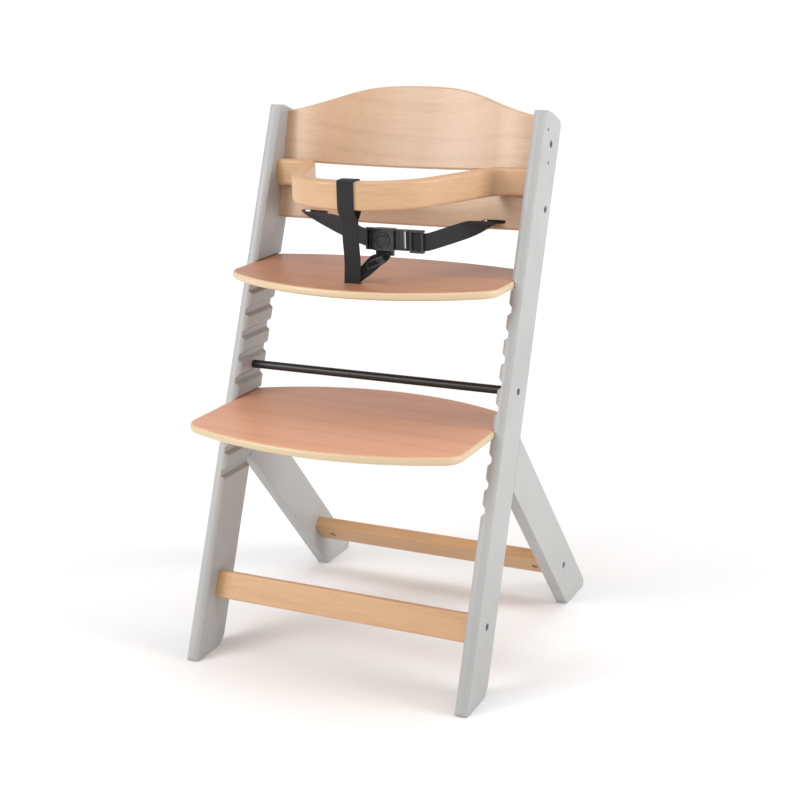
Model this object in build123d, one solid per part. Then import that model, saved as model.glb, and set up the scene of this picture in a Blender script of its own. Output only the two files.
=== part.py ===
from build123d import *
import os
from math import atan2, cos, radians, sin, sqrt, tan

# Wooden high chair with two height-adjustable plates, a safety bow and a 3-point harness.
# Millimetres.  X runs across the chair, -Y is the front, +Z is up.
# Origin: on the floor, under the middle of the chair's outer box.
# The pieces are laid out with Y = 0 at the front arris of the front feet, and moved at the end.
# A height is a Z.  A place on a post is given along it and back from its front arris.

# Side panels: a front post and a rear leg, glued together on dowels.
inner_half_width = 200.0       # from the middle plane to a panel's inner face
panel_thickness = 18.0
post_tilt = 21.7               # degrees back from vertical
post_width = 63.2              # from the front arris to the rear edge
post_length = 820.0
post_nose = 4.0                # bulge of the rounded front edge
post_crown = 3.0               # rise of the curved top end
post_top_radius = 11.0
post_toe_radius = 5.0
post_heel_radius = 30.0
leg_tilt = 40.6                # degrees forward from vertical
leg_width = 66.0
leg_join_height = 325.6        # where the leg's rear edge meets the post's rear edge
leg_heel_radius = 8.0
panel_arris = 1.2              # eased long edges
rail_end_gap = 0.1             # from a panel's inner face to a rail's end
leg_dowel_count = 2

# Grooves in the panels' inner faces, and the two plates that they hold.
plate_thickness = 12.0
groove_count = 10
groove_first = 251.4           # height of the lowest groove's middle
groove_pitch = 31.6
groove_depth = 6.0
groove_lead = 4.0              # the mouth is this much wider than a plate
groove_taper = 9.0             # the bottom is this much narrower than the mouth
plate_end_gap = 0.5            # from a plate's side edge to the groove's bottom
plate_edge_flat = 2.0          # left between the two rounded edges
plate_rear_radius = 5.0
seat_groove = 9
seat_reach = 136.0             # middle of the front edge, ahead of the posts' front arris
seat_front_sag = 69.0          # the front corners stand this far behind that middle
seat_rear_bow = 30.0           # middle of the rear edge, behind the posts' rear edge
seat_corner_radius = 36.0
foot_groove = 3
foot_reach = 169.0
foot_front_sag = 46.0
foot_rear_bow = 56.0
foot_corner_radius = 30.0

# Steel support bar between the panels.
bar_radius = 6.0
bar_wall = 1.5
bar_height = 392.5
bar_back = 32.0                # behind the post's front arris
bar_insert_length = 40.0

# Stretchers.
stretcher_height = 39.0
stretcher_thickness = 20.0
stretcher_radius = 2.5
front_stretcher_along = 112.0
front_stretcher_back = 30.5
front_bolt_rise = 5.5          # the bolt stands above the stretcher's middle
rear_stretcher_along = 62.7    # along the rear leg, from its front corner on the floor
rear_stretcher_back = 33.5     # back from the rear leg's front edge
rear_bolt_rise = 0.0

# Backrest: two bent boards on one leaning middle plane, given by their heights at the panels.
board_thickness = 12.0
board_tilt = 14.9              # degrees back from vertical
board_plane_height = 620.0     # the middle plane crosses this height ...
board_plane_y = 294.5          # ... this far back
board_bow = 24.0               # the middle of a board sits this much further back
board_flat = 40.0              # straight length at each end
board_bend_x = 75.0            # corner of the middle line, where the wide bend starts
board_end_run = 20.8           # from each corner of the middle line to where its bend starts
board_wide_run = 60.9
board_edge_radius = 2.5
upper_bottom = 676.5
upper_top = 750.5              # at the ends
upper_apex = 792.0
upper_crown_x = 84.0           # the crown passes this point ...
upper_crown_drop = 7.5         # ... this far under the apex
upper_shoulder_x = 150.0
upper_shoulder_rise = 12.5     # above the ends
upper_bolt_height = 713.5
lower_bottom = 596.0
lower_top = 643.0
lower_bolt_height = 626.0
upper_dowel_margin = 21.0      # from a board's lower and upper edges to its dowels
lower_dowel_margin = 8.0

# Small blind holes in the panels' outer faces, for an accessory.
accessory_radius = 2.5
accessory_depth = 12.0
accessory_y = 308.0
accessory_heights = (735.0, 689.0)

# Safety bow: one bent rail, flared at its ends.
bow_thickness = 18.0
bow_height = 39.0
bow_bottom = 644.0
bow_end_y = 291.0              # middle line at the ends
bow_front_y = 113.5            # middle line at the front
bow_shoulder_x = 147.0         # middle line's corner beside each end
bow_nose_x = 78.5              # middle line's corner at the front
bow_flare_radius = 28.0
bow_nose_radius = 100.0
bow_edge_radius = 5.0

# Fasteners.
bolt_radius = 3.0
bolt_head_radius = 4.8
bolt_head_height = 4.0
bolt_recess = 3.0              # from the panel's outer face down to the bolt's head
bolt_grip = 33.0               # shank beyond the panel's inner face
bolt_socket_width = 4.0
bolt_socket_depth = 2.5
bolt_clearance = 0.3
nut_radius = 5.0
nut_inset = 25.0               # from a rail's end to the barrel nut's axis
nut_cover = 1.8                # wood left over a barrel nut's blind end
nut_sink = 0.5                 # from a rail's face down to the nut
nut_slot = 1.2                 # screwdriver slot, width and depth
thread_clearance = 0.05
dowel_radius = 4.0
board_dowel_radius = 3.0
dowel_half_length = 12.0

# Harness webbing.
web_width = 24.0
web_thickness = 1.8
web_gap = 0.4                  # air between webbing and a piece that it only passes
crotch_x = 4.0                 # middle of both crotch straps
crotch_slot_y = 125.5
crotch_slot_width = 28.0
crotch_slot_depth = 7.0
loop_join_height = 627.0       # the loop's two layers meet here, below the bow
strap_stop_width = 34.0
strap_stop_depth = 12.0
strap_stop_thickness = 5.0
waist_slot_x = 143.0           # middle of the slots in the lower board
waist_slot_height = 606.0
waist_slot_width = 40.0
waist_slot_depth = 5.0
waist_strap_lead = 14.0        # the webbing turns edge-up this far in front of the board

# Buckle with a push button, and the adjusters on the webbing.
buckle_x = 42.0                # middle of the buckle's square body
buckle_y = 150.0
buckle_z = 600.0
buckle_width = 32.0
buckle_height = 30.0
buckle_depth = 13.0
buckle_radius = 3.0
buckle_wall = 2.0
frame_bar = 3.0                # bars that webbing wraps round
frame_depth = 5.0
waist_frame_reach = 12.0       # strap frame beside the buckle
crotch_frame_reach = 7.0       # strap frame under the buckle
crotch_window = 20.0
button_radius = 7.0
button_travel = 2.5
button_proud = 1.2
button_gap = 0.3
button_stop_gap = 0.5          # left between the pressed button and the tongue
button_flange = 1.5
spring_radius = 4.0
spring_wall = 0.8
tongue_reach = 21.0            # tongue outside the buckle
blade_reach = 16.0             # tongue inside the buckle
blade_thickness = 4.0
blade_gap = 0.4
prong_height = 5.0
adjuster_length = 20.0
adjuster_height = 31.0
adjuster_bar = 3.0
adjuster_depth = 2.4
adjuster_gap = 3.0             # between the tongue and the adjuster
adjuster_travel = 8.0
crotch_adjuster_length = 9.0
crotch_adjuster_place = 0.62   # share of the short strap's length

# Worked-out values.
outer_half_width = inner_half_width + panel_thickness
post_slope = tan(radians(post_tilt))
leg_slope = tan(radians(leg_tilt))
seat_height = groove_first + seat_groove * groove_pitch
foot_height = groove_first + foot_groove * groove_pitch
plate_half_width = inner_half_width + groove_depth - plate_end_gap
bow_top = bow_bottom + bow_height
board_straight_x = inner_half_width - board_flat
board_turn = atan2(board_bow, board_straight_x - board_bend_x)
# Straight run of webbing that clears the bent board behind a strap stop's whole width.
waist_slot_run = board_thickness / cos(board_turn) + strap_stop_width * tan(board_turn)


def post_front_y(height):
    return height * post_slope


def post_rear_y(height):
    return height * post_slope + post_width / cos(radians(post_tilt))


def leg_rear_y(height):
    return post_rear_y(leg_join_height) + (leg_join_height - height) * leg_slope


def leg_front_y(height):
    return leg_rear_y(height) - leg_width / cos(radians(leg_tilt))


def leaning_plane(x, y, z, tilt):
    """Local x along +X, local y back through a leaning piece, normal up along it."""
    return Plane(origin=(x, y, z), x_dir=(1, 0, 0), z_dir=(0, sin(radians(tilt)), cos(radians(tilt))))


def side_plane(x):
    """Local x along +Y, local y up, normal along +X."""
    return Plane(origin=(x, 0, 0), x_dir=(0, 1, 0), z_dir=(1, 0, 0))


def place(plane, back, along):
    """Y and Z in space of a point given in a leaning piece's own coordinates."""
    point = plane.from_local_coords((0, back, along))
    return (point.Y, point.Z)


post_plane = leaning_plane(0, 0, 0, post_tilt)
leg_plane = leaning_plane(0, leg_front_y(0), 0, -leg_tilt)
board_plane = leaning_plane(0, board_plane_y, board_plane_height, board_tilt)


def board_along(height):
    """Distance up the boards of a height at the panels."""
    return (height - board_plane_height) / cos(radians(board_tilt))


# Bolt axes through the panels, as (y, z).
bar_along = (bar_height + bar_back * sin(radians(post_tilt))) / cos(radians(post_tilt))
bolt_points = {
    "upper": place(board_plane, 0, board_along(upper_bolt_height)),
    "lower": place(board_plane, 0, board_along(lower_bolt_height)),
    "bar": place(post_plane, bar_back, bar_along),
    "front": place(post_plane, front_stretcher_back, front_stretcher_along + front_bolt_rise),
    "rear": place(leg_plane, rear_stretcher_back, rear_stretcher_along + rear_bolt_rise),
}


def rod(point, radius, x_from, x_to):
    """Round rod along X through a point (y, z)."""
    return extrude(side_plane(x_from) * Pos(*point) * Circle(radius), x_to - x_from)


def block(x_range, y_range, z_range):
    """Box between two limits along each axis."""
    sizes = [high - low for low, high in (x_range, y_range, z_range)]
    middle = [(low + high) / 2 for low, high in (x_range, y_range, z_range)]
    return Pos(*middle) * Box(*sizes)


def group(shapes):
    """All the solids of some shapes, as one compound of separate solids."""
    return Compound([solid for shape in shapes for solid in shape.solids()])


def mirrored(shape):
    return mirror(shape, about=Plane.YZ)


def pair(shape):
    """A shape and its mirror image, as separate solids."""
    return group([shape, mirrored(shape)])


def near(shape, point):
    """The vertex of a sketch that lies nearest to a point."""
    return shape.vertices().sort_by_distance((*point, 0))[0]


def bolt_hole(point):
    """Shank hole and head recess through the right panel."""
    shank = rod(point, bolt_radius + bolt_clearance, inner_half_width - 1, outer_half_width + 1)
    seat = outer_half_width - bolt_recess - bolt_head_height
    return shank + rod(point, bolt_head_radius + bolt_clearance, seat, outer_half_width + 1)


def dowel_between(point, direction, radius, slack=0.0):
    """Dowel centred on a joint face, along a direction."""
    plane = Plane(origin=point, z_dir=direction)
    return extrude(plane * Circle(radius), dowel_half_length + slack, both=True)


# Dowels between the right post and leg, on the post's rear edge.
def leg_dowel_points():
    low = leg_join_height - leg_width / cos(radians(leg_tilt)) / (leg_slope + post_slope)
    step = (leg_join_height - low) / (leg_dowel_count + 1)
    heights = [low + step * (i + 1) for i in range(leg_dowel_count)]
    middle = inner_half_width + panel_thickness / 2
    return [(middle, post_rear_y(height), height) for height in heights]


def leg_dowels(slack=0.0):
    back = (0, cos(radians(post_tilt)), -sin(radians(post_tilt)))
    return [dowel_between(point, back, dowel_radius, slack) for point in leg_dowel_points()]


# Dowels between the boards' ends and the right panel.
def board_dowel_alongs(bottom, top, margin):
    return [board_along(bottom) + margin, board_along(top) - margin]


def board_dowel_points():
    alongs = board_dowel_alongs(upper_bottom, upper_top, upper_dowel_margin)
    alongs += board_dowel_alongs(lower_bottom, lower_top, lower_dowel_margin)
    return [(inner_half_width, *place(board_plane, 0, along)) for along in alongs]


def bow_dowel_points():
    middle = (bow_bottom + bow_top) / 2
    return [(inner_half_width, bow_end_y, middle + side * bow_height / 4) for side in (-1, 1)]


def board_dowels(slack=0.0):
    return [dowel_between(point, (1, 0, 0), board_dowel_radius, slack) for point in board_dowel_points()]


def bow_dowels(slack=0.0):
    return [dowel_between(point, (1, 0, 0), dowel_radius, slack) for point in bow_dowel_points()]


def make_right_post():
    """Front post: rounded nose, curved top, grooves, bolt holes and accessory holes."""
    half = panel_thickness / 2
    middle = inner_half_width + half
    outline = Polyline((half, 0), (half, post_width), (-half, post_width), (-half, 0))
    section = make_face(outline + ThreePointArc((-half, 0), (0, -post_nose), (half, 0)))
    rear = section.vertices().group_by(Axis.Y)[-1]
    section = fillet(rear, panel_arris)
    stock = extrude(post_plane * Pos(middle, 0) * section, post_length + post_width, both=True)

    nose = post_nose / cos(radians(post_tilt))
    crest = [place(post_plane, back, post_length) for back in (post_width, -post_nose)]
    summit = place(post_plane, (post_width - post_nose) / 2, post_length + post_crown)
    toe = (-nose, 0)
    heel = (post_rear_y(0), 0)
    side = make_face(Polyline(crest[1], toe, heel, crest[0]) + ThreePointArc(crest[0], summit, crest[1]))
    side = fillet(near(side, crest[0]), post_top_radius)
    side = fillet(near(side, crest[1]), post_top_radius)
    side = fillet(near(side, heel), post_heel_radius)
    side = fillet(near(side, toe), post_toe_radius)
    post = stock & extrude(side_plane(inner_half_width) * side, panel_thickness)

    mouth = (plate_thickness + groove_lead) / 2
    bottom = mouth - groove_taper / 2
    for number in range(groove_count):
        height = groove_first + number * groove_pitch
        deep = inner_half_width + groove_depth
        low = [(inner_half_width - 1, -mouth), (inner_half_width, -mouth), (deep, -bottom)]
        high = [(x, -z) for x, z in reversed(low)]
        profile = make_face(Polyline(*low, *high, close=True))
        plane = Plane(origin=(0, -post_width, height), x_dir=(1, 0, 0), z_dir=(0, -1, 0))
        post -= extrude(plane * profile, -(post_rear_y(height) + 2 * post_width))
    for name in ("upper", "lower", "bar", "front"):
        post -= bolt_hole(bolt_points[name])
    for height in accessory_heights:
        point = (accessory_y, height)
        post -= rod(point, accessory_radius, outer_half_width - accessory_depth, outer_half_width + 1)
    for dowel in leg_dowels(thread_clearance) + board_dowels(thread_clearance) + bow_dowels(thread_clearance):
        post -= dowel
    return post


def make_right_leg():
    """Rear leg, glued to the post's rear edge."""
    half = panel_thickness / 2
    section = Pos(inner_half_width + half, leg_width / 2) * Rectangle(panel_thickness, leg_width)
    section = fillet(section.vertices(), panel_arris)
    stock = extrude(leg_plane * section, 2 * leg_join_height, both=True)
    top = leg_join_height
    join = top - leg_width / cos(radians(leg_tilt)) / (leg_slope + post_slope)
    heel = (leg_rear_y(0), 0)
    side = make_face(
        Polyline((leg_front_y(0), 0), heel, (post_rear_y(top), top), (post_rear_y(join), join), close=True)
    )
    side = fillet(near(side, heel), leg_heel_radius)
    leg = stock & extrude(side_plane(inner_half_width) * side, panel_thickness)
    leg -= bolt_hole(bolt_points["rear"])
    for dowel in leg_dowels(thread_clearance):
        leg -= dowel
    return leg


def make_plate(height, reach, front_sag, rear_bow, corner_radius):
    """Plate with bowed front and rear edges and straight sides that run in the grooves."""
    half = plate_half_width
    front = post_front_y(height) - reach
    rear = post_rear_y(height)
    outline = ThreePointArc((-half, front + front_sag), (0, front), (half, front + front_sag))
    outline += Polyline((half, front + front_sag), (half, rear))
    outline += ThreePointArc((half, rear), (0, rear + rear_bow), (-half, rear))
    outline += Polyline((-half, rear), (-half, front + front_sag))
    face = make_face(outline)
    for side in (-half, half):
        face = fillet(near(face, (side, front + front_sag)), corner_radius)
        face = fillet(near(face, (side, rear)), plate_rear_radius)
    plate = extrude(Pos(0, 0, height - plate_thickness / 2) * face, plate_thickness)
    edges = plate.edges().filter_by(lambda edge: abs(edge.tangent_at(0.5).Z) < 0.5)
    return fillet(edges, (plate_thickness - plate_edge_flat) / 2)


def make_seat_plate():
    plate = make_plate(seat_height, seat_reach, seat_front_sag, seat_rear_bow, seat_corner_radius)
    slot = SlotOverall(crotch_slot_width, crotch_slot_depth)
    cut = Pos(crotch_x, crotch_slot_y, seat_height) * extrude(slot, plate_thickness, both=True)
    return plate - cut


def make_foot_plate():
    return make_plate(foot_height, foot_reach, foot_front_sag, foot_rear_bow, foot_corner_radius)


def make_support_bar():
    end = inner_half_width - rail_end_gap
    return rod(bolt_points["bar"], bar_radius, -end, end) - rod(
        bolt_points["bar"], bar_radius - bar_wall, -end, end
    )


def make_bar_inserts():
    """Threaded plugs pressed into the ends of the support bar."""
    end = inner_half_width - rail_end_gap
    plug = rod(bolt_points["bar"], bar_radius - bar_wall, end - bar_insert_length, end)
    return pair(plug - rod(bolt_points["bar"], bolt_radius + thread_clearance, end - bar_insert_length, end))


def rail_bores(back, along, thickness, nut_side):
    """Bolt bores and blind barrel-nut holes at both ends of a rail, in the rail's own coordinates."""
    end = inner_half_width - rail_end_gap
    bore_length = bolt_grip + 2 * bolt_clearance
    hole_length = thickness - nut_cover
    hole_back = back + nut_side * nut_cover / 2
    cuts = []
    for side in (-1, 1):
        bore = Cylinder(bolt_radius + bolt_clearance, bore_length)
        cuts.append(Pos(side * (end - bore_length / 2), back, along) * Rot(0, 90, 0) * bore)
        hole = Cylinder(nut_radius + thread_clearance, hole_length)
        cuts.append(Pos(side * (end - nut_inset), hole_back, along) * Rot(90, 0, 0) * hole)
    return cuts


def rail_nuts(plane, back, along, thickness, nut_side):
    """Barrel nuts at both ends of a rail, each with its cross thread and a screwdriver slot."""
    length = thickness - nut_cover - nut_sink
    nut_back = back + nut_side * (nut_cover + length / 2 - thickness / 2)
    nut = Rot(90, 0, 0) * Cylinder(nut_radius, length)
    thread = Cylinder(bolt_radius + thread_clearance, 4 * nut_radius)
    nut -= Pos(0, back - nut_back, 0) * Rot(0, 90, 0) * thread
    nut -= Pos(0, nut_side * length / 2, 0) * Box(2 * nut_radius, 2 * nut_slot, nut_slot)
    end = inner_half_width - rail_end_gap
    return [plane * Pos(side * (end - nut_inset), nut_back, along) * nut for side in (-1, 1)]


def make_stretcher(plane, back, along, bolt_rise, nut_side):
    size = (2 * (inner_half_width - rail_end_gap), stretcher_thickness, stretcher_height)
    rail = Pos(0, back, along) * Box(*size)
    rail = fillet(rail.edges().filter_by(Axis.X), stretcher_radius)
    for cut in rail_bores(back, along + bolt_rise, stretcher_thickness, nut_side):
        rail -= cut
    return plane * rail


def make_board(outline, bolt_height, dowel_alongs):
    """Bent board, in the boards' own coordinates: a bent strip cut to an outline in its X-Z plane."""
    end = inner_half_width - rail_end_gap
    corners = [(-end, 0), (-board_straight_x, 0), (-board_bend_x, board_bow)]
    corners += [(-x, y) for x, y in reversed(corners)]
    runs = (board_end_run, board_wide_run, board_wide_run, board_end_run)
    line = FilletPolyline(*corners, radius=[run / tan(board_turn / 2) for run in runs])
    board = extrude(trace(line, board_thickness), upper_apex, both=True)
    board &= extrude(Plane.XZ * outline, upper_apex, both=True)
    long_edges = board.edges().filter_by(lambda edge: edge.bounding_box().size.X > 2 * board_thickness)
    board = fillet(long_edges, board_edge_radius)
    for cut in rail_bores(0, board_along(bolt_height), board_thickness, 1):
        board -= cut
    for side in (-1, 1):
        for along in dowel_alongs:
            hole = Cylinder(board_dowel_radius + thread_clearance, 2 * (dowel_half_length + thread_clearance))
            board -= Pos(side * end, 0, along) * Rot(0, 90, 0) * hole
    return board


def make_upper_backrest():
    end = inner_half_width - rail_end_gap
    bottom, top, apex = (board_along(height) for height in (upper_bottom, upper_top, upper_apex))
    crest = [(-end, top), (-upper_shoulder_x, top + upper_shoulder_rise)]
    crest += [(-upper_crown_x, apex - upper_crown_drop), (0, apex)]
    crest += [(-x, z) for x, z in reversed(crest[:-1])]
    foot = Polyline((end, top), (end, bottom), (-end, bottom), (-end, top))
    dowels = board_dowel_alongs(upper_bottom, upper_top, upper_dowel_margin)
    return board_plane * make_board(make_face(Spline(*crest) + foot), upper_bolt_height, dowels)


def make_lower_backrest():
    end = inner_half_width - rail_end_gap
    bottom, top = (board_along(height) for height in (lower_bottom, lower_top))
    outline = Pos(0, (bottom + top) / 2) * Rectangle(2 * end, top - bottom)
    dowels = board_dowel_alongs(lower_bottom, lower_top, lower_dowel_margin)
    board = make_board(outline, lower_bolt_height, dowels)
    slot = extrude(Plane.XZ * SlotOverall(waist_slot_width, waist_slot_depth), 2 * board_bow, both=True)
    for side in (-1, 1):
        board -= Pos(side * waist_slot_x, 0, board_along(waist_slot_height)) * slot
    return board_plane * board


def make_safety_bow():
    end = inner_half_width - rail_end_gap
    corners = [(-end, bow_end_y), (-bow_shoulder_x, bow_end_y), (-bow_nose_x, bow_front_y)]
    corners += [(-x, y) for x, y in reversed(corners)]
    radii = (bow_flare_radius, bow_nose_radius, bow_nose_radius, bow_flare_radius)
    line = FilletPolyline(*corners, radius=radii)
    bow = Pos(0, 0, bow_bottom) * extrude(trace(line, bow_thickness), bow_height)
    long_edges = bow.edges().filter_by(lambda edge: abs(edge.tangent_at(0.5).Z) < 0.5)
    outer = long_edges.filter_by(lambda edge: abs(edge.center().X) < end - panel_arris)
    bow = fillet(outer, bow_edge_radius)
    for dowel in bow_dowels(thread_clearance):
        bow -= dowel
        bow -= mirrored(dowel)
    return bow


def make_bolt(point):
    """Panel bolt with a recessed cylinder head and a hexagon socket."""
    top = outer_half_width - bolt_recess
    head = rod(point, bolt_head_radius, top - bolt_head_height, top)
    head = chamfer(head.edges().filter_by(GeomType.CIRCLE).sort_by(Axis.X)[-1], bolt_head_height / 8)
    socket = RegularPolygon(bolt_socket_width / 2, 6, major_radius=False)
    head -= extrude(side_plane(top - bolt_socket_depth) * Pos(*point) * socket, bolt_head_height)
    return head + rod(point, bolt_radius, inner_half_width - bolt_grip, top - bolt_head_height)


def make_bolts(names):
    return pair(group(make_bolt(bolt_points[name]) for name in names))


def web_in_side(points, x_middle, thickness=web_thickness):
    """Webbing that runs in a YZ plane, its width along X."""
    ribbon = trace(Polyline(*points), thickness)
    return extrude(side_plane(x_middle - web_width / 2) * ribbon, web_width)


def make_crotch_strap():
    """Strap looped over the safety bow and led down through the seat plate."""
    lap = web_gap + web_thickness / 2
    front = bow_front_y - bow_thickness / 2 - lap
    back = bow_front_y + bow_thickness / 2 + lap
    over = bow_top + lap
    middle = (front + back) / 2
    gather = bow_bottom - 3 * web_thickness
    front_layer = middle - web_thickness / 2
    back_layer = middle + web_thickness / 2
    slot_y = crotch_slot_y - web_thickness / 2 - web_gap / 2
    below = seat_height - plate_thickness / 2 - web_gap
    loop = [(front_layer, loop_join_height), (front, gather), (front, over), (back, over), (back, gather)]
    loop.append((back_layer, loop_join_height))
    tail = [(front_layer, loop_join_height), (slot_y, seat_height + plate_thickness), (slot_y, below)]
    return web_in_side(loop, crotch_x) + web_in_side(tail, crotch_x)


def buckle_strap_ends():
    """Both ends of the short strap's slanted run, from the seat plate's top to the buckle."""
    slot_y = crotch_slot_y + web_thickness / 2 + web_gap / 2
    low = Vector(crotch_x, slot_y, seat_height + plate_thickness / 2)
    window_top = buckle_z - buckle_height / 2 - crotch_frame_reach + frame_bar
    high = Vector(buckle_x, buckle_y - frame_depth / 2 - web_gap - web_thickness / 2, window_top)
    return low, high


def make_buckle_strap():
    """Short strap from the seat plate's slot up to the frame under the buckle."""
    low, high = buckle_strap_ends()
    inside = block(
        (low.X - web_width / 2, low.X + web_width / 2),
        (low.Y - web_thickness / 2, low.Y + web_thickness / 2),
        (low.Z - plate_thickness - web_gap, low.Z),
    )
    faces = [Plane(origin=low) * Rectangle(web_width, web_thickness)]
    faces.append(Plane(origin=high) * Rectangle(crotch_window - web_gap, web_thickness))
    return inside + loft(faces)


def waist_strap_run(side):
    """Middle of the webbing inside a slot of the lower board, in the boards' own coordinates."""
    bend = (board_straight_x - waist_slot_x) * tan(board_turn)
    return (side * waist_slot_x, bend, board_along(waist_slot_height))


def waist_strap(points, side):
    """Waist strap: flat through its slot in the lower board, then edge-up past plan points (x, y)."""
    x, bend, along = waist_strap_run(side)
    length = waist_slot_run + waist_strap_lead
    front = bend + waist_slot_run / 2 - length
    flat = board_plane * Pos(x, front + length / 2, along) * Box(web_width, length, web_thickness)
    mouth = board_plane.from_local_coords((x, front + web_thickness, along))
    ribbon = trace(Polyline((mouth.X, mouth.Y), *points), web_thickness)
    return flat + extrude(Pos(0, 0, buckle_z - web_width / 2) * ribbon, web_width)


def strap_frame(x_range, z_range, bars):
    """Flat plastic frame, open where the webbing passes."""
    y_range = (buckle_y - frame_depth / 2, buckle_y + frame_depth / 2)
    frame = block(x_range, y_range, z_range)
    left, right, low, high = bars
    window = block(
        (x_range[0] + left, x_range[1] - right),
        (buckle_y - frame_depth, buckle_y + frame_depth),
        (z_range[0] + low, z_range[1] - high),
    )
    return frame - window


def buckle_x_range():
    return (buckle_x - buckle_width / 2, buckle_x + buckle_width / 2)


def buckle_z_range():
    return (buckle_z - buckle_height / 2, buckle_z + buckle_height / 2)


def blade_front():
    """The tongue's blade lies behind the button's flange and its travel."""
    return buckle_y - buckle_depth / 2 + buckle_wall + button_flange + button_travel + button_stop_gap


def blade_room(gap):
    """Space of the tongue's blade inside the buckle, grown by a gap."""
    right = buckle_x_range()[1]
    half = buckle_height / 2 - buckle_wall - blade_gap + gap
    deep = blade_thickness / 2 + gap
    y = blade_front() + blade_thickness / 2
    return block((right - blade_reach - gap, right), (y - deep, y + deep), (buckle_z - half, buckle_z + half))


def make_buckle_housing():
    """Square buckle body, with the strap frames beside and under it."""
    left, right = buckle_x_range()
    low, high = buckle_z_range()
    body = block((left, right), (buckle_y - buckle_depth / 2, buckle_y + buckle_depth / 2), (low, high))
    body = fillet(body.edges().filter_by(Axis.Y), buckle_radius)
    body = chamfer(body.faces().sort_by(Axis.Y)[0].edges(), buckle_radius / 3)
    side = strap_frame(
        (left - waist_frame_reach, left + buckle_radius),
        (low, high),
        (frame_bar, buckle_radius, frame_bar, frame_bar),
    )
    under = strap_frame(
        (buckle_x - crotch_window / 2 - frame_bar, buckle_x + crotch_window / 2 + frame_bar),
        (low - crotch_frame_reach, low + buckle_radius),
        (frame_bar, frame_bar, frame_bar, buckle_radius),
    )
    body = body + side + under
    body -= blade_room(blade_gap)
    front = buckle_y - buckle_depth / 2
    well = Plane(origin=(buckle_x, front, buckle_z), z_dir=(0, 1, 0))
    mouth = button_radius + button_gap
    flange = button_radius + button_flange + button_gap
    shoulder = buckle_wall - button_gap
    body -= extrude(well * Circle(mouth), buckle_depth / 2)
    body -= extrude(well.offset(shoulder) * Circle(flange), buckle_depth / 2 - shoulder)
    return body


def button_top():
    return buckle_y - buckle_depth / 2 - button_proud


def make_buckle_button():
    """Push button with a dished face and a flange that keeps it in the buckle."""
    plane = Plane(origin=(buckle_x, button_top(), buckle_z), z_dir=(0, 1, 0))
    cap = extrude(plane * Circle(button_radius), button_proud + buckle_wall + button_flange)
    flange = plane.offset(button_proud + buckle_wall) * Circle(button_radius + button_flange)
    button = cap + extrude(flange, button_flange)
    button = fillet(button.edges().filter_by(GeomType.CIRCLE).sort_by(Axis.Y)[0], button_proud / 2)
    dish = button_radius * 4
    ball = Pos(buckle_x, button_top() - sqrt(dish**2 - (button_radius * 0.7) ** 2), buckle_z) * Sphere(dish)
    return button - ball


def make_button_spring():
    """Spring between the button's flange and the tongue's blade."""
    start = button_top() + button_proud + buckle_wall + button_flange
    plane = Plane(origin=(buckle_x, start, buckle_z), z_dir=(0, 1, 0))
    ring = Circle(spring_radius) - Circle(spring_radius - spring_wall)
    return extrude(plane * ring, blade_front() - blade_gap - start)


def tongue_right():
    return buckle_x_range()[1] + tongue_reach


def make_buckle_tongue():
    """Tongue with two prongs, and the bar that the right waist strap wraps round."""
    right = buckle_x_range()[1]
    low, high = buckle_z_range()
    blade = blade_room(0)
    notch_length = blade_reach * 0.75
    half = buckle_height / 2 - buckle_wall - blade_gap - prong_height
    blade -= block(
        (right - blade_reach - 1, right - blade_reach + notch_length),
        (buckle_y - buckle_depth, buckle_y + buckle_depth),
        (buckle_z - half, buckle_z + half),
    )
    body = block(
        (right + blade_gap, right + tongue_reach),
        (buckle_y - frame_depth / 2, buckle_y + buckle_depth / 2),
        (low + buckle_wall / 2, high - buckle_wall / 2),
    )
    body = fillet(body.edges().filter_by(Axis.Y), buckle_radius / 2)
    window = block(
        (right + tongue_reach - frame_bar - crotch_frame_reach, right + tongue_reach - frame_bar),
        (buckle_y - buckle_depth, buckle_y + buckle_depth),
        (buckle_z - web_width / 2 - web_gap, buckle_z + web_width / 2 + web_gap),
    )
    root = block(
        (right - blade_gap, right + 2 * blade_gap),
        (blade_front(), blade_front() + blade_thickness),
        (buckle_z - half - prong_height, buckle_z + half + prong_height),
    )
    return body - window + blade + root


def right_strap_y():
    """Middle of the right waist strap's flat run, in front of the tongue's bar."""
    return buckle_y - frame_depth / 2 - web_gap / 2 - web_thickness / 2


def adjuster_x_range():
    start = tongue_right() + adjuster_gap
    return (start, start + adjuster_length)


def make_left_waist_strap():
    end = buckle_x_range()[0] - waist_frame_reach - web_gap - web_thickness
    return waist_strap([(end, buckle_y)], -1)


def make_right_waist_strap():
    y = right_strap_y()
    start = tongue_right() - frame_bar - web_gap
    end = adjuster_x_range()[1] + adjuster_gap + adjuster_travel
    return waist_strap([(end, y), (start, y)], 1)


def make_waist_adjuster():
    """Three-bar slide: the webbing passes behind the end bars and in front of the middle bar."""
    start, end = adjuster_x_range()
    middle = (start + end) / 2
    y = right_strap_y()
    skin = web_thickness / 2 + web_gap
    room = web_width / 2 + web_gap
    half = adjuster_height / 2
    slide = block((start, end), (y - skin - adjuster_depth, y + skin + adjuster_depth), (-half, half))
    slide = fillet(slide.edges().filter_by(Axis.Y), adjuster_bar / 2)
    slide -= block((start - 1, end + 1), (y - skin, y + skin), (-room, room))
    slide -= block((start + adjuster_bar, end - adjuster_bar), (y - buckle_depth, y), (-room, room))
    slide -= block((start - 1, middle - adjuster_bar / 2), (y, y + buckle_depth), (-room, room))
    slide -= block((middle + adjuster_bar / 2, end + 1), (y, y + buckle_depth), (-room, room))
    return Pos(0, 0, buckle_z) * slide


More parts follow.
